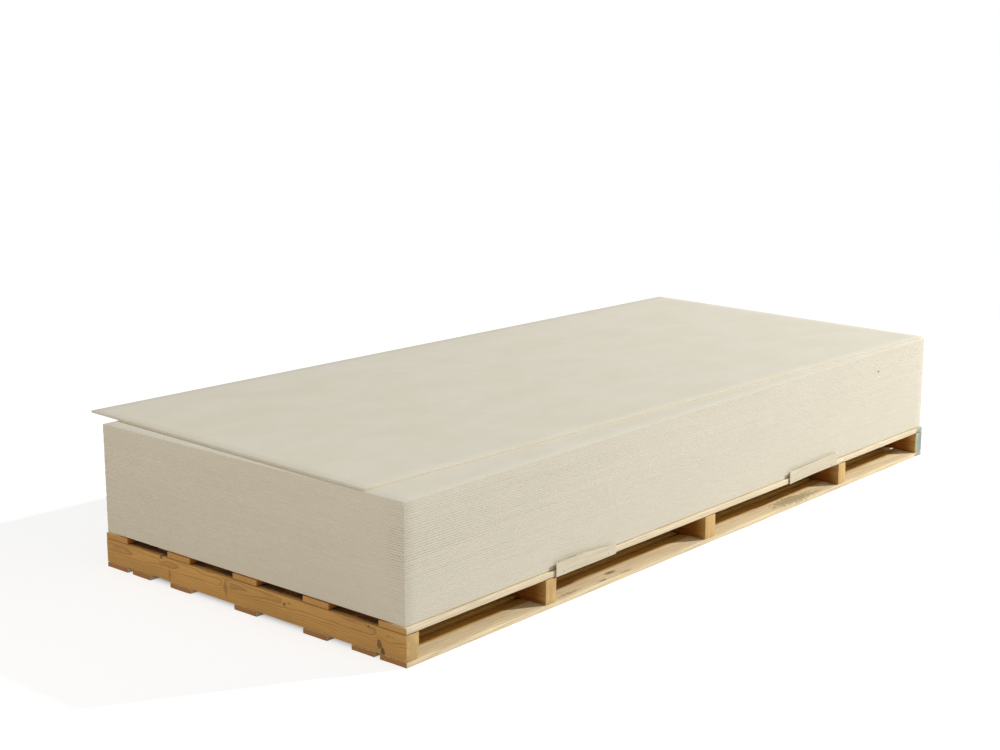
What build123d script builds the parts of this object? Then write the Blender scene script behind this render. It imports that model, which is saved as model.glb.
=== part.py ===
# A pallet load of thin fire-resistant boards, with a loose skewed board on top.
# X runs along the boards, Y across them and Z up. The origin is the middle of the pallet's underside.

import os
from math import cos, radians, sin

from build123d import *

os.makedirs("parts", exist_ok=True)

# Boards: four feet by nine, in the thin grade
board_length = 2745.0
board_width = 1220.0
board_thickness = 6.5
board_air = 0.37  # left between two boards, which are never quite flat
board_count = 48
boards_per_bundle = 4
edge_scatter = 1.5  # how far a board may lie out of line
scatter_turn_x = 137.0  # degrees from one board's place to the next one's
scatter_turn_y = 83.0

# The loose board on top, turned about its near left corner
skew_angle = -2.81
skew_corner_x = 5.0  # from the stack's left end
skew_corner_y = 143.0  # from the stack's near side

# Pallet
near_ledge = 8.0  # the deck stands out this far beyond the stack
far_ledge = 4.0
end_ledge = 4.5
base_board_thickness = 16.0
stringer_height = 73.0
deck_board_thickness = 19.0
side_stringer_width = 48.0
middle_stringer_width = 56.0
quarter_stringer_offset = 796.0  # from the pallet's middle to a stringer's
middle_stringer_offset = -11.0
deck_board_width = 101.0
deck_board_count = 5
edge_base_board_width = 97.0
second_base_board_width = 84.0
inner_base_board_width = 94.0
base_board_gap = 20.0  # between an edge board and the second one
inner_base_board_pitch = 278.0

# Cleats on the deck's near edge
cleat_height = 41.0
cleat_thickness = 4.0
left_cleat_length = 274.0
left_cleat_middle = -642.0
left_cleat_split = 120.0  # where the split along its top starts
left_cleat_end_height = 28.0
right_cleat_length = 302.0
right_cleat_middle = 599.5
right_cleat_tilt = 1.3
right_cleat_corner = 12.0  # the worn upper corner

# Places that follow from the sizes
pallet_length = board_length + 2 * end_ledge
pallet_width = board_width + near_ledge + far_ledge
deck_underside = base_board_thickness + stringer_height
deck_top = deck_underside + deck_board_thickness
stack_middle_y = (near_ledge - far_ledge) / 2
board_pitch = board_thickness + board_air
stack_top = deck_top + board_count * board_pitch


def scatter(number, turn):
    """How far this board lies out of line."""
    return edge_scatter * sin(radians(number * turn))


# Base boards: a close pair along each long edge and three between
edge_offset = (pallet_width - edge_base_board_width) / 2
second_offset = edge_offset - (edge_base_board_width + second_base_board_width) / 2 - base_board_gap
base_boards = [
    (-edge_offset, edge_base_board_width),
    (-second_offset, second_base_board_width),
    (-inner_base_board_pitch, inner_base_board_width),
    (0.0, inner_base_board_width),
    (inner_base_board_pitch, inner_base_board_width),
    (second_offset, second_base_board_width),
    (edge_offset, edge_base_board_width),
]
for number, (place, width) in enumerate(base_boards, 1):
    with BuildPart() as base_board:
        with BuildSketch(Plane.XY):
            with Locations((0, place)):
                Rectangle(pallet_length, width)
        extrude(amount=base_board_thickness)
    base_board.part.label = f"base_board_{number}"
    export_step(base_board.part, f"parts/base_board_{number}.step")

# Stringers, which run across the pallet on the base boards
end_stringer_offset = (pallet_length - side_stringer_width) / 2
stringers = [
    (-end_stringer_offset, side_stringer_width),
    (-quarter_stringer_offset, side_stringer_width),
    (middle_stringer_offset, middle_stringer_width),
    (quarter_stringer_offset, side_stringer_width),
    (end_stringer_offset, side_stringer_width),
]
for number, (place, width) in enumerate(stringers, 1):
    with BuildPart() as stringer:
        with BuildSketch(Plane.XY.offset(base_board_thickness)):
            with Locations((place, 0)):
                Rectangle(width, pallet_width)
        extrude(amount=stringer_height)
    stringer.part.label = f"stringer_{number}"
    export_step(stringer.part, f"parts/stringer_{number}.step")

# Deck boards, evenly spaced and flush with the stringers' ends
deck_board_pitch = (pallet_width - deck_board_width) / (deck_board_count - 1)
for number in range(1, deck_board_count + 1):
    place = (deck_board_width - pallet_width) / 2 + (number - 1) * deck_board_pitch
    with BuildPart() as deck_board:
        with BuildSketch(Plane.XY.offset(deck_underside)):
            with Locations((0, place)):
                Rectangle(pallet_length, deck_board_width)
        extrude(amount=deck_board_thickness)
    deck_board.part.label = f"deck_board_{number}"
    export_step(deck_board.part, f"parts/deck_board_{number}.step")

# Left cleat, nailed to the edge of the near deck board, its top split off towards the right
left_cleat_face = Plane(
    origin=(left_cleat_middle - left_cleat_length / 2, -pallet_width / 2, deck_underside),
    x_dir=(1, 0, 0),
    z_dir=(0, -1, 0),
)
with BuildPart() as edge_cleat_left:
    with BuildSketch(left_cleat_face):
        with BuildLine():
            Polyline(
                (0, 0),
                (left_cleat_length, 0),
                (left_cleat_length, left_cleat_end_height),
                (left_cleat_split, cleat_height),
                (0, cleat_height),
                close=True,
            )
        make_face()
    extrude(amount=cleat_thickness)
edge_cleat_left.part.label = "edge_cleat_left"
export_step(edge_cleat_left.part, "parts/edge_cleat_left.step")

# Right cleat, nailed on a little out of level, with one corner worn away
tilt = radians(right_cleat_tilt)
right_cleat_face = Plane(
    origin=(right_cleat_middle - right_cleat_length / 2, -pallet_width / 2, deck_underside),
    x_dir=(cos(tilt), 0, sin(tilt)),
    z_dir=(0, -1, 0),
)
with BuildPart() as edge_cleat_right:
    with BuildSketch(right_cleat_face) as right_profile:
        Rectangle(right_cleat_length, cleat_height, align=(Align.MIN, Align.MIN))
        worn_corner = right_profile.vertices().sort_by(Axis.X)[-2:].sort_by(Axis.Y)[-1]
        chamfer(worn_corner, length=right_cleat_corner)
    extrude(amount=cleat_thickness)
edge_cleat_right.part.label = "edge_cleat_right"
export_step(edge_cleat_right.part, "parts/edge_cleat_right.step")

# The stack: each node holds a few boards that lie one above the other without touching
bundle_count = board_count // boards_per_bundle
for bundle in range(bundle_count):
    first = bundle * boards_per_bundle
    with BuildPart() as boards:
        for number in range(first, first + boards_per_bundle):
            with BuildSketch(Plane.XY.offset(deck_top + number * board_pitch)):
                aside = scatter(number, scatter_turn_x)
                across = stack_middle_y + scatter(number, scatter_turn_y)
                with Locations((aside, across)):
                    Rectangle(board_length, board_width)
            extrude(amount=board_thickness)
    name = f"boards_{first + 1:02d}_to_{first + boards_per_bundle:02d}"
    boards.part.label = name
    export_step(boards.part, f"parts/{name}.step")

# The loose board on top
skew_plane = Plane(
    origin=(
        skew_corner_x - board_length / 2,
        stack_middle_y + skew_corner_y - board_width / 2,
        stack_top,
    ),
).rotated((0, 0, skew_angle))
with BuildPart() as top_board:
    with BuildSketch(skew_plane):
        Rectangle(board_length, board_width, align=(Align.MIN, Align.MIN))
    extrude(amount=board_thickness)
top_board.part.label = "top_board"
export_step(top_board.part, "parts/top_board.step")
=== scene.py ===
import math
import random

import bmesh
import bpy
import numpy as np
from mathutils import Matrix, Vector


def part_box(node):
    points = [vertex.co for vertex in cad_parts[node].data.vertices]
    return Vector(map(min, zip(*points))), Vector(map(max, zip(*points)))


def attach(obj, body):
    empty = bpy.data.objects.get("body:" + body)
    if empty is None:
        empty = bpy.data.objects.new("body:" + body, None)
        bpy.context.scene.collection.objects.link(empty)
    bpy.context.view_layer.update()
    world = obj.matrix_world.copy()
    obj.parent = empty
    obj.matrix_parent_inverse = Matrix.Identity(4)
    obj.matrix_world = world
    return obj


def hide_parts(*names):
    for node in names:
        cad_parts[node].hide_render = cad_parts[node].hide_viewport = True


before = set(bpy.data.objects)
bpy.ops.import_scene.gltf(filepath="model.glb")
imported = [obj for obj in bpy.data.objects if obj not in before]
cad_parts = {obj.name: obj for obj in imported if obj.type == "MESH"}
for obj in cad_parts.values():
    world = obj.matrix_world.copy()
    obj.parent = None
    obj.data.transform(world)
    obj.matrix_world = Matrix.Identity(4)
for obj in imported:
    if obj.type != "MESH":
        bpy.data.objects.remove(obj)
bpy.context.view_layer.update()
mm = 0.001
palletHalf = (*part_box("stringer_5")[1].xy, 1.0)  # half its length and width; its height is never asked for
cloudRange = {"From Min": 0.3, "From Max": 0.7}  # what a noise pattern mostly gives
ringScale = math.pi / 10  # the wave pattern's scale at which its rings are one metre wide
sharpTurn = 1.0  # radians; an edge that turns more than this is a real corner
smoothTurn = 35  # degrees; an edge that turns less than this is shaded smooth


# Helpers for materials

def linear(hexColour):
    # an sRGB hex colour as the linear one that a shader takes
    parts = [int(hexColour[place:place + 2], 16) / 255 for place in (1, 3, 5)]
    return [part / 12.92 if part <= 0.04045 else ((part + 0.055) / 1.055) ** 2.4 for part in parts] + [1]


def addNode(tree, kind, settings=None, links=None):
    # settings are the node's own, or numbers for its sockets; a link from a node takes its first output
    made = tree.nodes.new(kind)

    def socket(name):
        if isinstance(name, int):
            return made.inputs[name]
        return next(found for found in made.inputs if found.name == name and found.enabled)

    for name, value in (settings or {}).items():
        if isinstance(name, str) and hasattr(made, name):
            setattr(made, name, value)
        else:
            socket(name).default_value = value
    for name, source in (links or {}).items():
        if isinstance(source, bpy.types.Node):
            source = next(found for found in source.outputs if found.enabled)
        tree.links.new(source, socket(name))
    return made


def startMaterial(name, roughness, ior):
    # a plain surface and its place in the frame, ready for a pattern
    material = bpy.data.materials.new(name)
    material.use_nodes = True
    tree = material.node_tree
    tree.nodes.clear()
    shader = addNode(tree, "ShaderNodeBsdfPrincipled", {"Roughness": roughness, "IOR": ior})
    addNode(tree, "ShaderNodeOutputMaterial", None, {"Surface": shader})
    return material, tree, shader, addNode(tree, "ShaderNodeTexCoord").outputs["Object"]


def cloud(tree, place, sizes, detail=2.0):
    # soft random patches, with their size in mm along each axis
    counted = addNode(tree, "ShaderNodeMapping", {"Scale": [1 / (size * mm) for size in sizes]},
                      {"Vector": place})
    return addNode(tree, "ShaderNodeTexNoise", {"Scale": 1.0, "Detail": detail}, {"Vector": counted})


def shade(tree, colour, pattern, swing):
    # darkens and lightens a colour by up to swing, as the pattern goes
    factor = addNode(tree, "ShaderNodeMapRange", {**cloudRange, "To Min": 1 - swing, "To Max": 1 + swing},
                     {"Value": pattern})
    return addNode(tree, "ShaderNodeMix", {"data_type": "RGBA", "blend_type": "MULTIPLY", "Factor": 1.0},
                   {"A": colour, "B": factor})


def spotReach(tree, place, mark):
    # how far a place is from a spot, counted so that 1 is its ragged rim
    away = addNode(tree, "ShaderNodeVectorMath",
                   {"operation": "SUBTRACT", 1: [part * mm for part in mark["at"]]}, {0: place})
    counted = addNode(tree, "ShaderNodeVectorMath",
                      {"operation": "MULTIPLY", 1: [1 / (reach * mm) for reach in mark["reach"]]}, {0: away})
    far = addNode(tree, "ShaderNodeVectorMath", {"operation": "LENGTH"}, {0: counted}).outputs["Value"]
    ragged = addNode(tree, "ShaderNodeMapRange",
                     {**cloudRange, "To Min": -mark["ragged"], "To Max": mark["ragged"]},
                     {"Value": cloud(tree, place, [mark["raggedSize"]] * 3)})
    return addNode(tree, "ShaderNodeMath", {"operation": "ADD"}, {0: far, 1: ragged})


def spot(at, reach, colour, strength, soft=0.35, bend=0.0, ragged=0.25, raggedSize=12.0):
    # a knot, stain, dab of paint or patch of painted shade: its middle and half sizes in mm, and how hard it
    # bends the rings round it
    return {"at": at, "reach": reach, "colour": colour, "strength": strength, "soft": soft, "bend": bend,
            "ragged": ragged, "raggedSize": raggedSize}


# Fire board: a pressed and dried mineral sheet, smooth and matt on its faces, sawn at its edges

boardLook = {
    "face": "#E9E3D2",
    "faceCloud": "#E6DFCB",
    "edge": "#DED6C2",
    "grain": "#8A8172",
    "chip": "#6A6258",
    "roughness": 0.82,
    "ior": 1.5,
    "dampSize": (190, 140, 140),
    "mottleSize": (70, 45, 45),
    "mottle": 0.012,  # how far each pattern darkens and lightens
    "speckSize": (3, 3, 3),
    "speck": 0.02,
    "grainsEachMetre": 7.0,
    "grainRim": (0.008, 0.016),  # where a grain starts to fade and has gone, in shares of the grains' spacing
    "grainStrength": 0.6,
    "pitSize": (4, 4, 4),
    "facePits": 0.10,  # depth of its relief
    "ownShade": 0.008,
    "bandSize": (260, 260, 90),
    "band": 0.012,
    "toothSize": (3, 3, 14),
    "tooth": 0.025,
    "edgeTeeth": 0.35,
}


def pressedMineralFace():
    # cream and matt, faintly clouded by its damp, with a few dark grains pressed in
    look = boardLook
    material, tree, shader, place = startMaterial("pressedMineralFace", look["roughness"], look["ior"])
    damp = addNode(tree, "ShaderNodeMapRange", {"From Min": 0.35, "From Max": 0.65},
                   {"Value": cloud(tree, place, look["dampSize"], 3.0)})
    colour = addNode(tree, "ShaderNodeMix", {"data_type": "RGBA", "A": linear(look["face"]),
                                             "B": linear(look["faceCloud"])}, {"Factor": damp})
    colour = shade(tree, colour, cloud(tree, place, look["mottleSize"], 4.0), look["mottle"])
    colour = shade(tree, colour, cloud(tree, place, look["speckSize"]), look["speck"])
    grains = addNode(tree, "ShaderNodeTexVoronoi", {"Scale": look["grainsEachMetre"]}, {"Vector": place})
    fadeStart, fadeEnd = look["grainRim"]
    seen = addNode(tree, "ShaderNodeMapRange", {"From Min": fadeStart, "From Max": fadeEnd,
                                                "To Min": look["grainStrength"], "To Max": 0.0},
                   {"Value": grains.outputs["Distance"]})
    colour = addNode(tree, "ShaderNodeMix", {"data_type": "RGBA", "B": linear(look["grain"])},
                     {"A": colour, "Factor": seen})
    tree.links.new(colour.outputs[2], shader.inputs["Base Color"])
    bump = addNode(tree, "ShaderNodeBump", {"Distance": look["facePits"] * mm},
                   {"Height": cloud(tree, place, look["pitSize"], 3.0)})
    tree.links.new(bump.outputs[0], shader.inputs["Normal"])
    return material


def sawnMineralEdge(chips):
    # the sawn rim, a little duller; the saw leaves upright teeth marks, and each board has its own shade
    look = boardLook
    material, tree, shader, place = startMaterial("sawnMineralEdge", look["roughness"], look["ior"])
    height = addNode(tree, "ShaderNodeSeparateXYZ", None, {"Vector": place}).outputs["Z"]
    number = addNode(tree, "ShaderNodeMath", {"operation": "MULTIPLY_ADD", 1: 1 / boardPitch,
                                              2: -stackFoot / boardPitch}, {0: height})
    number = addNode(tree, "ShaderNodeMath", {"operation": "FLOOR"}, {0: number})
    own = addNode(tree, "ShaderNodeTexWhiteNoise", {"noise_dimensions": "1D"}, {"W": number}).outputs["Value"]
    colour = addNode(tree, "ShaderNodeRGB")
    colour.outputs[0].default_value = linear(look["edge"])
    colour = shade(tree, colour, own, look["ownShade"])
    colour = shade(tree, colour, cloud(tree, place, look["bandSize"], 3.0), look["band"])
    teeth = cloud(tree, place, look["toothSize"], 3.0)
    colour = shade(tree, colour, teeth, look["tooth"])
    for chip in chips:
        rim = addNode(tree, "ShaderNodeMapRange", {"From Min": 1 - chip["soft"], "To Min": chip["strength"],
                                                   "To Max": 0.0}, {"Value": spotReach(tree, place, chip)})
        colour = addNode(tree, "ShaderNodeMix", {"data_type": "RGBA", "B": linear(chip["colour"])},
                         {"A": colour, "Factor": rim})
    tree.links.new(colour.outputs[2], shader.inputs["Base Color"])
    bump = addNode(tree, "ShaderNodeBump", {"Distance": look["edgeTeeth"] * mm}, {"Height": teeth})
    tree.links.new(bump.outputs[0], shader.inputs["Normal"])
    return material


# Pine: sawn softwood, pale early wood between thin brown late rings, cut through by the saw

pineLook = {
    "roughness": 0.68,
    "ior": 1.5,
    "lateStart": 0.45,  # where the brown part of a ring begins, as a share of its width
    "knot": "#5E3A1C",
    "knotEvery": (520, 150, 150),
    "knotRim": (0.035, 0.06),  # where a knot starts to fade and has gone, in shares of the knots' spacing
    "knotBend": 5.0,  # how hard a knot bends the rings round it
    "knotBendReach": (0.02, 0.3),
    "spotBendReach": (0.5, 3.5),  # counted in the spot's own half sizes
    "fibreSize": (80, 3.2, 3.2),
    "fibre": 0.10,
    "toneSize": (380, 55, 55),
    "streakSize": (9, 9, 70),
    "sawMarkSize": (4, 70, 70),
    "relief": 0.35,
    "sways": [((420, 90, 90), 12), ((110, 30, 30), 3)],  # how long each bend of the rings is, and how deep
}


def deepUnder(tree, place, shadeUnderLoad):
    # 0 near the pallet's rim on the given sides and 1 well under the load; the wood takes it as the reach of
    # its painted shade, the floor as where its glow ends
    away = addNode(tree, "ShaderNodeVectorMath", {"operation": "ABSOLUTE"}, {0: place})
    inward = addNode(tree, "ShaderNodeVectorMath", {"operation": "SUBTRACT", 0: palletHalf}, {1: away})
    parts = addNode(tree, "ShaderNodeSeparateXYZ", None, {"Vector": inward})
    depth = addNode(tree, "ShaderNodeMath", {"operation": "MINIMUM"},
                    {0: parts.outputs[shadeUnderLoad["sides"][0]], 1: parts.outputs[shadeUnderLoad["sides"][-1]]})
    return addNode(tree, "ShaderNodeMapRange", {"interpolation_type": "SMOOTHSTEP",
                                                "From Min": shadeUnderLoad["start"] * mm,
                                                "From Max": shadeUnderLoad["end"] * mm}, {"Value": depth})


def sawnPine(name, early, late, ringWidth=9.0, lateStrength=0.7, spots=(), tone=0.09, knots=0.75, streaks=0.0,
             shadeUnderLoad=None):
    # rings are cylinders about the log's middle, so the faces get streaks and arches and the ends get arcs
    look = pineLook
    material, tree, shader, place = startMaterial(name, look["roughness"], look["ior"])
    stem = addNode(tree, "ShaderNodeAttribute", {"attribute_name": "stem"}).outputs["Vector"]
    swayed = stem
    for sizes, reach in look["sways"]:
        sway = cloud(tree, stem, sizes, 2.0).outputs["Color"]
        swayed = addNode(tree, "ShaderNodeVectorMath",
                         {"operation": "MULTIPLY_ADD", 1: (0.0, reach * mm, reach * mm)},
                         {0: sway, 2: swayed})
    counted = addNode(tree, "ShaderNodeMapping", {"Scale": [1 / (size * mm) for size in look["knotEvery"]]},
                      {"Vector": stem})
    branches = addNode(tree, "ShaderNodeTexVoronoi", {"Scale": 1.0, "Randomness": 1.0}, {"Vector": counted})
    near, far = look["knotBendReach"]
    bends = [addNode(tree, "ShaderNodeMapRange", {"interpolation_type": "SMOOTHSTEP", "From Min": near,
                                                  "From Max": far, "To Min": look["knotBend"] * knots,
                                                  "To Max": 0.0}, {"Value": branches.outputs["Distance"]})]
    cores = []
    near, far = look["spotBendReach"]
    for each in spots:
        reach = spotReach(tree, place, each)
        if each["bend"]:
            bends.append(addNode(tree, "ShaderNodeMapRange",
                                 {"interpolation_type": "SMOOTHSTEP", "From Min": near, "From Max": far,
                                  "To Min": each["bend"], "To Max": 0.0}, {"Value": reach}))
        cores.append((each, addNode(tree, "ShaderNodeMapRange",
                                    {"interpolation_type": "SMOOTHSTEP", "From Min": 1 - each["soft"],
                                     "From Max": 1.0, "To Min": each["strength"], "To Max": 0.0},
                                    {"Value": reach})))
    bend = bends[0]
    for more in bends[1:]:
        bend = addNode(tree, "ShaderNodeMath", {"operation": "ADD"}, {0: bend, 1: more})
    rings = addNode(tree, "ShaderNodeTexWave",
                    {"wave_type": "RINGS", "rings_direction": "X", "wave_profile": "SAW",
                     "Scale": ringScale / (ringWidth * mm), "Distortion": 0.5, "Detail": 1.0},
                    {"Vector": swayed, "Phase Offset": bend})
    lateWood = addNode(tree, "ShaderNodeMapRange", {"interpolation_type": "SMOOTHSTEP",
                                                    "From Min": look["lateStart"], "To Max": lateStrength},
                       {"Value": rings.outputs["Fac"]})
    colour = addNode(tree, "ShaderNodeMix", {"data_type": "RGBA", "A": linear(early), "B": linear(late)},
                     {"Factor": lateWood})
    fibre = cloud(tree, stem, look["fibreSize"], 3.0)
    colour = shade(tree, colour, fibre, look["fibre"])
    colour = shade(tree, colour, cloud(tree, stem, look["toneSize"], 3.0), tone)
    if streaks:
        colour = shade(tree, colour, cloud(tree, place, look["streakSize"], 3.0), streaks)
    fadeStart, fadeEnd = look["knotRim"]
    knotCore = addNode(tree, "ShaderNodeMapRange", {"From Min": fadeStart, "From Max": fadeEnd, "To Min": knots,
                                                    "To Max": 0.0}, {"Value": branches.outputs["Distance"]})
    colour = addNode(tree, "ShaderNodeMix", {"data_type": "RGBA", "B": linear(look["knot"])},
                     {"A": colour, "Factor": knotCore})
    for each, core in cores:
        colour = addNode(tree, "ShaderNodeMix", {"data_type": "RGBA", "B": linear(each["colour"])},
                         {"A": colour, "Factor": core})
    # painted shade: the wood's colour is darkened towards the middle of the load, where shade falls under the
    # stack and deck
    if shadeUnderLoad:
        colour = addNode(tree, "ShaderNodeMix", {"data_type": "RGBA", "blend_type": "MULTIPLY",
                                                 "B": linear(shadeUnderLoad["shadeColour"])},
                         {"A": colour, "Factor": deepUnder(tree, place, shadeUnderLoad)})
    tree.links.new(colour.outputs[2], shader.inputs["Base Color"])
    sawMarks = cloud(tree, stem, look["sawMarkSize"])
    rough = addNode(tree, "ShaderNodeMath", {"operation": "ADD"}, {0: fibre, 1: sawMarks})
    bump = addNode(tree, "ShaderNodeBump", {"Distance": look["relief"] * mm}, {"Height": rough})
    tree.links.new(bump.outputs[0], shader.inputs["Normal"])
    return material


# Helpers for modelling

def nodesCalled(start):
    return sorted(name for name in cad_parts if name.startswith(start))


def cornersOf(node):
    return np.array([vertex.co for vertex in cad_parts[node].data.vertices], float)


def startBox(name, low, high):
    # a cube primitive at the size and place of a box in the frame
    bpy.ops.object.select_all(action="DESELECT")
    bpy.ops.mesh.primitive_cube_add(size=1, location=(low + high) / 2, scale=high - low)
    piece = bpy.context.object
    piece.name = piece.data.name = name
    bpy.ops.object.transform_apply(location=True, rotation=True, scale=True)
    return piece


def pick(kind, test):
    # in edit mode, selects just the edges or faces that pass the test
    bpy.ops.mesh.select_mode(type="EDGE" if kind == "edges" else "FACE")
    bpy.ops.mesh.select_all(action="DESELECT")
    shape = bmesh.from_edit_mesh(bpy.context.object.data)
    for part in getattr(shape, kind):
        if test(part):
            part.select_set(True)
    shape.select_flush_mode()
    bmesh.update_edit_mesh(bpy.context.object.data)


def easeCorners(width, segments=2):
    # in edit mode, rounds all real corners
    pick("edges", lambda edge: edge.is_manifold and edge.calc_face_angle() > sharpTurn)
    bpy.ops.mesh.bevel(offset=width * mm, segments=segments, affect="EDGES")


def cutAcross(axis, length, every):
    # even cuts across everything that runs along the axis
    def runsAlong(edge):
        way = edge.verts[1].co - edge.verts[0].co
        return abs(way[axis]) > 0.9 * way.length
    pick("edges", runsAlong)
    bpy.ops.mesh.subdivide(number_cuts=max(1, round(length / every) - 1))


def copyOf(piece):
    # a copy with a mesh of its own
    made = piece.copy()
    made.data = piece.data.copy()
    bpy.context.scene.collection.objects.link(made)
    return made


def pointsOf(piece):
    points = np.empty(len(piece.data.vertices) * 3, np.float32)
    piece.data.vertices.foreach_get("co", points)
    return points.reshape(-1, 3).astype(float)


def movePoints(piece, points):
    piece.data.vertices.foreach_set("co", points.astype(np.float32).ravel())
    piece.data.update()


def ripple(across, up, wave, seed):
    # a smooth random swell between about -1 and 1 over the plane, repeating near the wave length
    luck = random.Random(seed)
    waves = 4
    total = np.zeros(len(across))
    for _ in range(waves):
        way = luck.uniform(0, 2 * math.pi)
        length = wave * luck.uniform(0.6, 1.7)
        total += np.sin((across * math.cos(way) + up * math.sin(way)) * 2 * math.pi / length
                        + luck.uniform(0, 2 * math.pi))
    return total / waves


def finishPiece(piece, node):
    # shades it smooth, ties it to the part's body and hides the imported node that it stands for
    bpy.ops.object.select_all(action="DESELECT")
    piece.select_set(True)
    bpy.context.view_layer.objects.active = piece
    bpy.ops.object.shade_smooth_by_angle(angle=math.radians(smoothTurn))
    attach(piece, "root")
    if node:
        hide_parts(node)
    return piece


# The stack: one board is modelled, then copied, and each copy gets its own rim

stackLook = {
    "cutEvery": 40.0,
    "rimWidth": 41.0,
    "easing": 0.22,
    "closedGap": 0.08,
    "openGap": 0.36,  # most that a rim stands off its neighbour
    "sprungGap": 1.1,  # more, near the sprung corner
    "sprungReach": (650, 300, 160),  # how far the spring goes along, and its middle and reach in height
    "gapLength": 900.0,  # about how often a gap opens and closes along a rim
    "leftTight": 0.2,  # what is left of the gaps on the left face
    "leftFace": (30, 50),  # how far that face goes in from the left side, and where it starts along it
    "footGap": 1.5,  # how far the lowest board's rim stands off the deck
    "swell": 0.08,  # up and down
    "swellLength": 700.0,
    "wander": 0.18,  # in and out
    "wanderLength": 500.0,
    "neatness": 0.12,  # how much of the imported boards' scatter shows
    "cornerChip": 0.5,
    "cornerReach": 8.0,
}
stackSeeds = {"wander": 100, "chip": 300, "swell": 500, "gap": 700}


def layersOf(node):
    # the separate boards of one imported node, from the lowest up, as pairs of corners
    corners = cornersOf(node)
    heights = np.unique(corners[:, 2].round(4))
    for bottom, top in zip(heights[::2], heights[1::2]):
        layer = corners[(corners[:, 2] > bottom - mm / 10) & (corners[:, 2] < top + mm / 10)]
        yield layer.min(0), layer.max(0)


stackNodes = nodesCalled("boards_")
boardPlaces = [(node, low, high) for node in stackNodes for low, high in layersOf(node)]
boardPitch = float(boardPlaces[1][1][2] - boardPlaces[0][1][2])
stackFoot = float(boardPlaces[0][1][2])
stackLow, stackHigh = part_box(stackNodes[0])


def boardBlank(name, length, width, thickness, face, edge):
    # a board about the origin, its underside at height 0, with cuts only round its rim
    look = stackLook
    board = startBox(name, Vector((-length / 2, -width / 2, 0)), Vector((length / 2, width / 2, thickness)))
    board.data.materials.append(face)
    board.data.materials.append(edge)
    bpy.ops.object.mode_set(mode="EDIT")
    cutAcross(0, length, look["cutEvery"] * mm)
    cutAcross(1, width, look["cutEvery"] * mm)

    def inside(flat):
        middle = flat.calc_center_median()
        rim = look["rimWidth"] * mm
        return (abs(flat.normal.z) > 0.5 and abs(middle.x) < length / 2 - rim
                and abs(middle.y) < width / 2 - rim)
    pick("faces", inside)
    bpy.ops.mesh.dissolve_faces()
    easeCorners(look["easing"])
    pick("faces", lambda flat: abs(flat.normal.z) < 0.6)
    board.active_material_index = 1
    bpy.ops.object.material_slot_assign()
    bpy.ops.object.mode_set(mode="OBJECT")
    return board


def gapBetween(number, across, deep):
    # how far the rims of two neighbours stand apart, wider near the sprung corner
    look = stackLook
    height = stackFoot + number * boardPitch
    reach, middle, spread = (size * mm for size in look["sprungReach"])
    sprung = np.exp(-((across - stackLow.x) / reach) ** 2) * math.exp(-((height - middle) / spread) ** 2)
    opening = 0.5 + 0.5 * ripple(across, deep, look["gapLength"] * mm, stackSeeds["gap"] + number)
    faceDepth, faceStart = (size * mm for size in look["leftFace"])
    leftFace = (across < stackLow.x + faceDepth) & (deep > stackLow.y + faceStart)
    tight = np.where(leftFace, look["leftTight"], 1.0)
    return (look["closedGap"] + tight * (opening ** 2 * (look["openGap"] - look["closedGap"])
                                         + sprung * opening * look["sprungGap"])) * mm


def shapeRim(board, number, low, high):
    # lays a board in its place, with a rim that wanders, swells and gapes a little and has worn corners
    look = stackLook
    points = pointsOf(board)
    middle = (stackLow + stackHigh) / 2
    shift = [middle[axis] + look["neatness"] * ((low[axis] + high[axis]) / 2 - middle[axis])
             for axis in (0, 1)]
    halfX, halfY = np.abs(points[:, 0]).max(), np.abs(points[:, 1]).max()
    onRim = (np.abs(points[:, 0]) > halfX - mm) | (np.abs(points[:, 1]) > halfY - mm)
    upper = points[:, 2] > points[:, 2].max() / 2
    away = ripple(points[:, 0], points[:, 1], look["wanderLength"] * mm, stackSeeds["wander"] + number)
    away = away * look["wander"] * mm
    luck = random.Random(stackSeeds["chip"] + number)
    for cornerX in (-1, 1):
        for cornerY in (-1, 1):
            fromCorner = np.hypot(points[:, 0] - cornerX * halfX, points[:, 1] - cornerY * halfY)
            near = fromCorner < look["cornerReach"] * mm
            away = away - near * luck.uniform(0, look["cornerChip"]) * mm
    points[:, 0] += np.sign(points[:, 0]) * away * (np.abs(points[:, 0]) > halfX - mm)
    points[:, 1] += np.sign(points[:, 1]) * away * (np.abs(points[:, 1]) > halfY - mm)
    points[:, 0] += shift[0]
    points[:, 1] += shift[1]
    for side, wanted in ((upper, number + 1), (~upper, number)):
        if 0 < wanted < len(boardPlaces):
            swell = ripple(points[:, 0], points[:, 1], look["swellLength"] * mm, stackSeeds["swell"] + wanted)
            swell = swell * look["swell"] * mm
            gap = gapBetween(wanted, points[:, 0], points[:, 1]) - look["closedGap"] * mm
            points[:, 2] += onRim * side * (swell + gap / 2 * (1 if wanted == number else -1))
    if number == 0:
        points[:, 2] += onRim * ~upper * look["footGap"] * mm
    points[:, 2] += low[2]
    movePoints(board, points)


def stackBoards(face, edge):
    first = boardPlaces[0]
    length, width = first[2][0] - first[1][0], first[2][1] - first[1][1]
    blank = boardBlank("stack_board_01", length, width, boardPitch - stackLook["closedGap"] * mm, face, edge)
    boards = [blank]
    for number in range(1, len(boardPlaces)):
        board = copyOf(blank)
        board.name = board.data.name = f"stack_board_{number + 1:02d}"
        boards.append(board)
    for number, (board, (node, low, high)) in enumerate(zip(boards, boardPlaces)):
        shapeRim(board, number, low, high)
        finishPiece(board, node)
    print(f"stack of {len(boards)} boards done")


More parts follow.
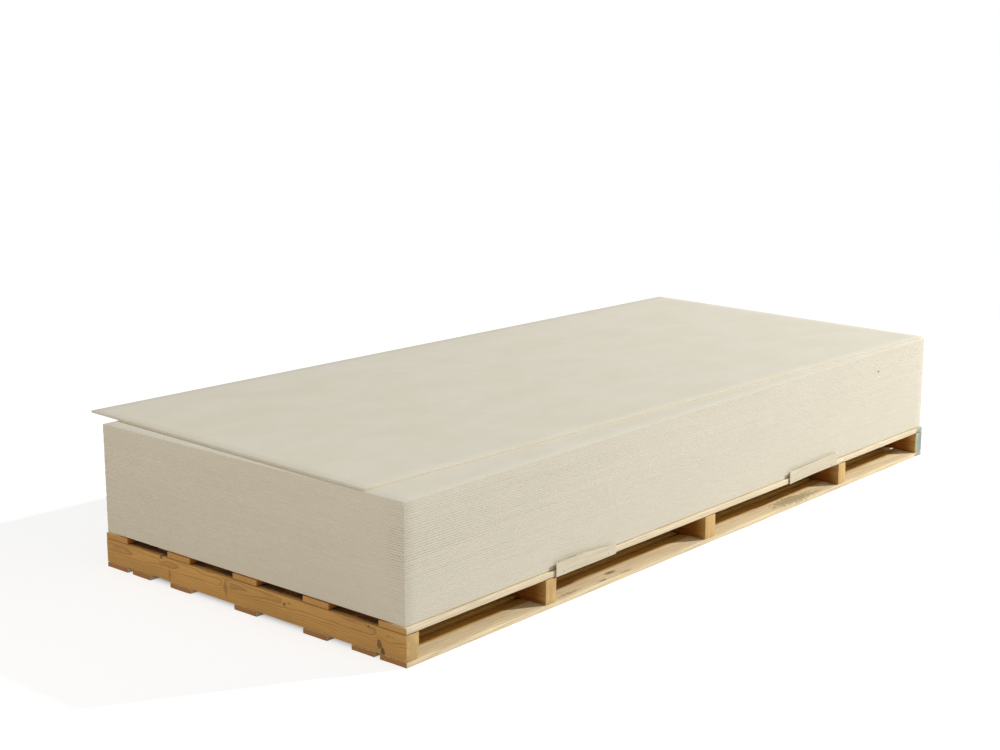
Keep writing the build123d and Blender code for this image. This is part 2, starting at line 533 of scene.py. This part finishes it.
def looseBoard(face, edge):
    # the skewed board on top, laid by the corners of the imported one
    corners = cornersOf("top_board")
    nearLeft = corners[corners[:, 0].argmin()]
    nearRight = corners[corners[:, 1].argmin()]
    farLeft = corners[corners[:, 1].argmax()]
    bottom, top = corners[:, 2].min(), corners[:, 2].max()
    alongWay = (nearRight - nearLeft)[:2]
    acrossWay = (farLeft - nearLeft)[:2]
    board = boardBlank("loose_board", np.hypot(*alongWay), np.hypot(*acrossWay), top - bottom, face, edge)
    points = pointsOf(board)
    turn = math.atan2(alongWay[1], alongWay[0])
    middle = (nearRight + farLeft)[:2] / 2
    turned = points.copy()
    turned[:, 0] = points[:, 0] * math.cos(turn) - points[:, 1] * math.sin(turn) + middle[0]
    turned[:, 1] = points[:, 0] * math.sin(turn) + points[:, 1] * math.cos(turn) + middle[1]
    turned[:, 2] = points[:, 2] + bottom
    movePoints(board, turned)
    finishPiece(board, "top_board")
    print("loose board done")


# The pallet: sawn timber, each piece cut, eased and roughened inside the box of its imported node

timberLook = {
    "cutEvery": 18.0,
    "easing": 1.6,
    "deckEasing": 2.6,
    "unevenness": 1.3,  # how far the saw left its faces from flat, inwards only
    "unevenSize": 70.0,
    "fuzz": 0.5,
    "fuzzSize": 9.0,
    "nicks": 7,
    "nickReach": 16.0,
    "nickSpread": (0.7, 1.8),  # shares of that reach
    "nickShape": (2.2, 0.6),  # shares of it along the grain and across
    "nickDepth": 3.2,
    "nickLeast": 0.4,  # share of the depth
    "pithAside": 30.0,
    "pithAway": (25, 75),  # from the broad faces
    "lean": 0.02,  # how far the log's middle leans from the piece's
    "logSpread": 60.0,  # metres between pieces in the pattern, so that no two share a log
}


def roughTexture(name, size):
    texture = bpy.data.textures.new(name, "CLOUDS")
    texture.noise_scale = size * mm
    return texture


def layStem(piece, along, luck):
    # where each point lies in its log: along the grain, then across it from the pith
    look = timberLook
    points = pointsOf(piece)
    middle = (points.max(0) + points.min(0)) / 2
    across = 1 - along
    lengthwise = points[:, along] - middle[along]
    pithAcross = luck.uniform(-look["pithAside"], look["pithAside"]) * mm
    pithUp = luck.choice((-1, 1)) * luck.uniform(*look["pithAway"]) * mm
    width, height = np.ptp(points[:, across]), np.ptp(points[:, 2])
    if height > width:  # its broad faces are the upright ones
        pithAcross, pithUp = pithUp, pithAcross
    stem = np.empty_like(points)
    stem[:, 0] = lengthwise + luck.uniform(0, look["logSpread"])
    for row, axis, pith in ((1, across, pithAcross), (2, 2, pithUp)):
        lean = luck.uniform(-look["lean"], look["lean"])
        stem[:, row] = points[:, axis] - middle[axis] - pith + lengthwise * lean
    laid = piece.data.attributes.new("stem", "FLOAT_VECTOR", "POINT")
    laid.data.foreach_set("vector", stem.astype(np.float32).ravel())


def nickEdges(piece, along, luck):
    # small splinters torn from the long corners
    look = timberLook
    points = pointsOf(piece)
    low, high = points.min(0), points.max(0)
    middle = (low + high) / 2
    across = 1 - along
    for _ in range(look["nicks"]):
        spotAt = np.empty(3)
        spotAt[along] = luck.uniform(low[along], high[along])
        spotAt[across] = luck.choice((low[across], high[across]))
        spotAt[2] = luck.choice((low[2], high[2]))
        reach = look["nickReach"] * mm * luck.uniform(*look["nickSpread"])
        away = (points - spotAt) / [reach * look["nickShape"][axis != along] for axis in range(3)]
        depth = look["nickDepth"] * mm * luck.uniform(look["nickLeast"], 1)
        pull = np.clip(1 - np.linalg.norm(away, axis=1), 0, 1) * depth
        for axis in (across, 2):
            points[:, axis] += np.sign(middle[axis] - spotAt[axis]) * pull
    movePoints(piece, points)


def roughen(piece, textures):
    # pushes the surface in, never out, by a wide swell and a fine fuzz
    for texture, strength in textures:
        rough = piece.modifiers.new("rough", "DISPLACE")
        rough.texture = texture
        rough.strength = strength * mm
        rough.mid_level = 1.0
        bpy.ops.object.modifier_apply(modifier=rough.name)


def sawnTimber(name, node, sides, ends, seed, easing):
    # a block cut into a grid, eased, splintered and roughened
    look = timberLook
    low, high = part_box(node)
    size = high - low
    along = 0 if size.x > size.y else 1
    piece = startBox(name, low, high)
    piece.data.materials.append(sides)
    piece.data.materials.append(ends)
    bpy.ops.object.mode_set(mode="EDIT")
    for axis in range(3):
        cutAcross(axis, size[axis], look["cutEvery"] * mm)
    easeCorners(easing)
    pick("faces", lambda flat: abs(flat.normal[along]) > 0.7)
    piece.active_material_index = 1
    bpy.ops.object.material_slot_assign()
    bpy.ops.object.mode_set(mode="OBJECT")
    luck = random.Random(seed)
    nickEdges(piece, along, luck)
    roughen(piece, ((unevenTexture, look["unevenness"]), (fuzzTexture, look["fuzz"])))
    layStem(piece, along, luck)
    return finishPiece(piece, node)


unevenTexture = roughTexture("sawUnevenness", timberLook["unevenSize"])
fuzzTexture = roughTexture("sawFuzz", timberLook["fuzzSize"])


# The cleats: two thin greyed strips on the deck's near edge, one split along its top, one out of level

cleatLook = {
    "cutEvery": 9.0,
    "easing": 0.6,
    "unevenness": 0.6,
    "fuzz": 0.35,
    "weld": 0.5,  # points closer than this after the sawing become one
}


def outlineOf(node):
    # the corners of a packed cleat's front face, in order round it
    corners = np.unique(cornersOf(node)[:, [0, 2]].round(5), axis=0)
    around = corners - corners.mean(0)
    return corners[np.argsort(np.arctan2(around[:, 1], around[:, 0]))]


def edgeCleat(name, node, wood, seed):
    # a gridded slip of wood, sawn along each side of its outline
    look = cleatLook
    low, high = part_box(node)
    cleat = startBox(name, low, high)
    cleat.data.materials.append(wood)
    bpy.ops.object.mode_set(mode="EDIT")
    for axis in (0, 2):
        cutAcross(axis, (high - low)[axis], look["cutEvery"] * mm)
    corners = outlineOf(node)
    for here, following in zip(corners, np.roll(corners, -1, axis=0)):
        way = following - here
        bpy.ops.mesh.select_all(action="SELECT")
        bpy.ops.mesh.bisect(plane_co=(here[0], low.y, here[1]), plane_no=(way[1], 0, -way[0]),
                            use_fill=True, clear_outer=True)
    bpy.ops.mesh.select_all(action="SELECT")
    bpy.ops.mesh.remove_doubles(threshold=look["weld"] * mm)
    bpy.ops.mesh.normals_make_consistent(inside=False)
    easeCorners(look["easing"])
    bpy.ops.object.mode_set(mode="OBJECT")
    roughen(cleat, ((unevenTexture, look["unevenness"]), (fuzzTexture, look["fuzz"])))
    layStem(cleat, 0, random.Random(seed))
    return finishPiece(cleat, node)


# Nails: flat heads, modelled once and copied

nailLook = {
    "head": 5.0,  # across
    "thick": 1.2,
    "sides": 12,
    "easing": 0.35,
    "colour": "#B9B5A8",
    "rust": "#8A6E50",
    "roughness": 0.6,
    "clearOfFloor": 0.9,
    "inFromEdge": 22.0,  # from a base board's long edge to its nails
    "inFromEnd": 35.0,  # from a cleat's end to its nail
    "proud": 0.1,  # how far a head stands off the cleat's face
}


def zincedWire():
    # drawn steel wire with a dull zinc coat, rusting where the hammer cracked it
    material, tree, shader, place = startMaterial("zincedWire", nailLook["roughness"], 1.5)
    shader.inputs["Metallic"].default_value = 0.9
    rusted = addNode(tree, "ShaderNodeMapRange", {"From Min": 0.5, "From Max": 0.62},
                     {"Value": cloud(tree, place, (5, 5, 5), 3.0)})
    colour = addNode(tree, "ShaderNodeMix", {"data_type": "RGBA", "A": linear(nailLook["colour"]),
                                             "B": linear(nailLook["rust"])}, {"Factor": rusted})
    tree.links.new(colour.outputs[2], shader.inputs["Base Color"])
    return material


def nailHeads(name, places, turn, metal):
    # one head, then a copy at each place, joined in one mesh
    look = nailLook
    bpy.ops.object.select_all(action="DESELECT")
    bpy.ops.mesh.primitive_cylinder_add(vertices=look["sides"], radius=look["head"] / 2 * mm,
                                        depth=look["thick"] * mm, rotation=turn)
    first = bpy.context.object
    first.data.materials.append(metal)
    bpy.ops.object.transform_apply(rotation=True)
    bpy.ops.object.mode_set(mode="EDIT")
    easeCorners(look["easing"], segments=1)
    bpy.ops.object.mode_set(mode="OBJECT")
    heads = [first] + [copyOf(first) for _ in places[1:]]
    for head, place in zip(heads, places):
        head.location = place
        head.select_set(True)
    bpy.context.view_layer.objects.active = first
    bpy.ops.object.join()
    first.name = first.data.name = name
    bpy.ops.object.transform_apply(location=True)
    return finishPiece(first, None)


def baseNailPlaces():
    # two through every crossing of a base board and a stringer
    places = []
    inward = nailLook["inFromEdge"] * mm
    for board in nodesCalled("base_board"):
        for stringer in nodesCalled("stringer"):
            (boardLow, boardHigh), (crossLow, crossHigh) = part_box(board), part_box(stringer)
            for y in (boardLow.y + inward, boardHigh.y - inward):
                places.append(((crossLow.x + crossHigh.x) / 2, y, nailLook["clearOfFloor"] * mm))
    return places


def cleatNailPlaces():
    # one near each end of a cleat, at the middle of the deck board's edge
    deckLow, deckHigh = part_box("deck_board_1")
    places = []
    for cleat in ("edge_cleat_left", "edge_cleat_right"):
        low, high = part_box(cleat)
        face = low.y + (nailLook["thick"] / 2 - nailLook["proud"]) * mm
        inward = nailLook["inFromEnd"] * mm
        places += [(x, face, (deckLow.z + deckHigh.z) / 2) for x in (low.x + inward, high.x - inward)]
    return places


# Finishes of the pieces, and the pieces themselves

boardFace = pressedMineralFace()
boardEdge = sawnMineralEdge([
    spot((1035, -608, 370), (7, 9, 4), boardLook["chip"], 0.85),
    spot((1040, -608, 352), (9, 9, 3), "#F2EBD8", 0.6),
])
knotBrown = "#5A3416"
# painted shade, darkening the wood well under the load where shade falls: the stringers' sides, the deck
# boards' long faces and the base boards' tops
stringerPaintedShade = {"sides": "XY", "start": 4.0, "end": 45.0, "shadeColour": "#D0A646"}
deckPaintedShade = {"sides": "Y", "start": 30.0, "end": 90.0, "shadeColour": "#C08038"}
basePaintedShade = {"sides": "XY", "start": 57.0, "end": 67.0, "shadeColour": "#DEBE72"}
tealPaint = "#7C9A97"
stringerSides = sawnPine("goldenPineSides", "#C8984F", "#8A5520", ringWidth=3.2, lateStrength=0.55, tone=0.14,
                         knots=0, shadeUnderLoad=stringerPaintedShade, spots=[
    spot((-1377, 360, 85), (30, 8, 7), knotBrown, 0.8, bend=5),
    spot((-1377, 325, 38), (30, 7, 30), "#7A4E22", 0.5, soft=0.6),
    spot((-1377, 80, 55), (30, 9, 24), "#7A4E22", 0.5, bend=5),
    spot((-1377, -161, 66), (30, 6, 5), knotBrown, 0.85, bend=3),
    spot((-1377, -481, 82), (30, 5, 3), knotBrown, 0.85, bend=2),
    spot((-1377, -519, 42), (30, 9, 15), knotBrown, 0.8, bend=5),
    spot((-1377, -531, 26), (30, 9, 13), "#3E2412", 0.85),
    spot((1377, 210, 60), (30, 9, 7), knotBrown, 0.8, bend=6),
    spot((1377, -330, 35), (30, 7, 9), knotBrown, 0.8, bend=5),
    spot((1377, 470, 72), (30, 5, 4), knotBrown, 0.8, bend=3),
    # painted shade on the stringers' tops, dark in the gaps between the deck boards under the stack
    spot((-1351, 0, 90), (22, 3000, 3), "#3A2A12", 0.85, ragged=0.1),
    spot((1351, 0, 90), (22, 3000, 3), "#3A2A12", 0.85, ragged=0.1),
])
stringerEnds = sawnPine("stringerEndGrain", "#D9B474", "#B4863F", ringWidth=7, lateStrength=0.4, knots=0,
                        streaks=0.12, spots=[
    spot((-1353, -616, 52), (40, 5, 55), "#C09F65", 0.8, soft=0.6, ragged=0.5, raggedSize=20),
    spot((1338, -616, 56), (11, 4, 50), "#9DB5B0", 0.75, ragged=0.15),
    spot((1364, -616, 54), (23, 4, 50), tealPaint, 0.85, ragged=0.1),
    # painted shadow in the gap at the foot of the fifth stringer's end
    spot((1330, -616, 19), (9, 4, 4), "#4A4034", 0.7),
])
deckSides = sawnPine("palePineDeck", "#EDDDBC", "#D6B888", lateStrength=0.4, shadeUnderLoad=deckPaintedShade, spots=[
    spot((1358, -616, 99), (34, 8, 14), tealPaint, 0.75),
    spot((791, -616, 100), (10, 4, 6), "#F6F0DF", 0.8),
    spot((797, -616, 92), (9, 4, 2), "#4A3A24", 0.7),
])
deckEnds = sawnPine("deckEndGrain", "#C4944C", "#95612A", ringWidth=5, lateStrength=0.45, knots=0)
baseSides = sawnPine("palePineBase", "#EFDCB4", "#C79F68", lateStrength=0.35, shadeUnderLoad=basePaintedShade, spots=[
    spot((-700, -600, 16), (60, 9, 6), "#8D7347", 0.5, soft=0.6, ragged=0.6, raggedSize=7),
    spot((-548, -605, 16), (22, 4, 6), "#4E3A1E", 0.8, ragged=0.4, raggedSize=7),
    spot((-440, -606, 16), (34, 4, 6), "#6B5430", 0.7, soft=0.6, ragged=0.5, raggedSize=7),
    spot((512, -589, 16), (130, 34, 8), "#8F8152", 0.55, soft=0.4, ragged=0.5, raggedSize=10),
    spot((650, -598, 16), (50, 8, 6), "#8A7A4C", 0.5, soft=0.6),
    spot((1356, -616, 7), (34, 8, 11), tealPaint, 0.75),
])
baseEnds = sawnPine("baseEndGrain", "#A97538", "#74461A", ringWidth=5, knots=0)
cleatWood = sawnPine("greyedCleatPine", "#DBCFB4", "#C9B895", lateStrength=0.2, tone=0.04, knots=0)
nailMetal = zincedWire()
print("finishes done")

stackBoards(boardFace, boardEdge)
looseBoard(boardFace, boardEdge)

timberKinds = {
    "stringer": ("stringer_pine", stringerSides, stringerEnds, timberLook["easing"]),
    "deck_board": ("deck_pine", deckSides, deckEnds, timberLook["deckEasing"]),
    "base_board": ("base_pine", baseSides, baseEnds, timberLook["easing"]),
}
for seed, name in enumerate(sorted(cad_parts), 1):
    for kind, (slot, sides, ends, easing) in timberKinds.items():
        if name.startswith(kind):
            sawnTimber("sawn_" + name, name, sides, ends, seed, easing)
edgeCleat("cleat_strip_left", "edge_cleat_left", cleatWood, 51)
edgeCleat("cleat_strip_right", "edge_cleat_right", cleatWood, 52)
nailHeads("base_nails", baseNailPlaces(), (0, 0, 0), nailMetal)
nailHeads("cleat_nails", cleatNailPlaces(), (math.radians(90), 0, 0), nailMetal)
print("pallet done")


# Studio: a white floor, a key lamp far off at the front right, weak soft lamps at the left end and in front,
# and a little fill all round

studio = {
    "aim": (0.0, 0.0, 0.25),
    "fill": "#FFFFFF",
    "fillStrength": 0.32,
    "floorColour": 0.72,
    "floorGlow": 0.74,
    "floorShadow": 0.48,
    "floorSize": 80.0,
    "floorFade": (2.2, 4.5),  # metres from the load's middle, over which the floor turns pure white
    "underLoad": {"sides": "XY", "start": 0.0, "end": 60.0},  # where the floor's own glow ends
}
lamps = {  # place in metres, width in metres, power in watts
    "keyLamp": {"place": (8.84, -6.46, 6.625), "width": 0.4, "power": 1430.0, "colour": "#FFFFFF"},
    "leftLamp": {"place": (-4.5, 0.3, 1.2), "width": 2.0, "power": 34.0, "colour": "#FFF4E6"},
    "frontLamp": {"place": (-1.0, -5.0, 1.4), "width": 2.0, "power": 10.0, "colour": "#FFFFFF"},
}
cameraSet = {
    "place": (-4.3735, -3.502, 1.686),
    "azimuth": 49.324,  # from +Y towards +X
    "pitch": 12.514,  # below the horizon
    "roll": 0.04,
    "focal": 62.78,
    "film": 36.0,
}


def seenDirectly(tree):
    # 1 for what the eye sees, straight or in gloss or glass, and 0 for the light that reaches the load
    path = addNode(tree, "ShaderNodeLightPath")
    sight = addNode(tree, "ShaderNodeMath", {"operation": "MAXIMUM"},
                    {0: path.outputs["Is Camera Ray"], 1: path.outputs["Is Glossy Ray"]})
    return addNode(tree, "ShaderNodeMath", {"operation": "MAXIMUM"},
                   {0: sight, 1: path.outputs["Is Transmission Ray"]})


def grey(level):
    return level, level, level, 1


def hangLamp(name, lamp):
    # a square panel lamp, turned to the load's middle
    hung = bpy.data.objects.new(name, bpy.data.lights.new(name, "AREA"))
    hung.data.energy = lamp["power"]
    hung.data.size = lamp["width"]
    hung.data.color = linear(lamp["colour"])[:3]
    hung.location = lamp["place"]
    hung.rotation_mode = "QUATERNION"
    hung.rotation_quaternion = (Vector(studio["aim"]) - Vector(lamp["place"])).to_track_quat("-Z", "Y")
    bpy.context.scene.collection.objects.link(hung)


bpy.ops.object.select_all(action="DESELECT")
bpy.ops.mesh.primitive_plane_add(size=studio["floorSize"], location=(0, 0, 0))
floor = bpy.context.object
floor.name = "studio_floor"
floorMaterial = bpy.data.materials.new("whiteStudioFloor")
floorMaterial.use_nodes = True
tree = floorMaterial.node_tree
tree.nodes.clear()
plain = addNode(tree, "ShaderNodeBsdfDiffuse", {"Color": grey(studio["floorColour"])})
faint = addNode(tree, "ShaderNodeBsdfDiffuse", {"Color": grey(studio["floorShadow"])})
glow = addNode(tree, "ShaderNodeEmission", {"Strength": studio["floorGlow"]})
shown = addNode(tree, "ShaderNodeAddShader", None, {0: faint, 1: glow})
place = addNode(tree, "ShaderNodeTexCoord").outputs["Object"]
away = addNode(tree, "ShaderNodeVectorMath", {"operation": "LENGTH"}, {0: place}).outputs["Value"]
fadeStart, fadeEnd = studio["floorFade"]
faded = addNode(tree, "ShaderNodeMapRange", {"interpolation_type": "SMOOTHSTEP", "From Min": fadeStart,
                                             "From Max": fadeEnd}, {"Value": away})
whiteAway = addNode(tree, "ShaderNodeEmission", {"Strength": 1.0})
shown = addNode(tree, "ShaderNodeMixShader", None, {0: faded, 1: shown, 2: whiteAway})
shaded = deepUnder(tree, place, studio["underLoad"])
shown = addNode(tree, "ShaderNodeMixShader", None, {0: shaded, 1: shown, 2: faint})
either = addNode(tree, "ShaderNodeMixShader", None, {0: seenDirectly(tree), 1: plain, 2: shown})
addNode(tree, "ShaderNodeOutputMaterial", None, {"Surface": either})
floor.data.materials.append(floorMaterial)

world = bpy.data.worlds.new("studioFill")
bpy.context.scene.world = world
world.use_nodes = True
tree = world.node_tree
tree.nodes.clear()
fill = addNode(tree, "ShaderNodeBackground", {"Color": linear(studio["fill"]),
                                              "Strength": studio["fillStrength"]})
white = addNode(tree, "ShaderNodeBackground", {"Color": grey(1), "Strength": 1.0})
either = addNode(tree, "ShaderNodeMixShader", None, {0: seenDirectly(tree), 1: fill, 2: white})
addNode(tree, "ShaderNodeOutputWorld", None, {"Surface": either})

for lampName, lamp in lamps.items():
    hangLamp(lampName, lamp)

camera = bpy.data.objects.new("camera", bpy.data.cameras.new("camera"))
camera.location = cameraSet["place"]
camera.rotation_euler = (math.radians(90 - cameraSet["pitch"]), 0, math.radians(-cameraSet["azimuth"]))
camera.rotation_euler.rotate_axis("Z", math.radians(cameraSet["roll"]))
camera.data.sensor_width = cameraSet["film"]
camera.data.lens = cameraSet["focal"]
bpy.context.scene.collection.objects.link(camera)
bpy.context.scene.camera = camera
bpy.context.scene.view_settings.view_transform = "Standard"
print("studio done")
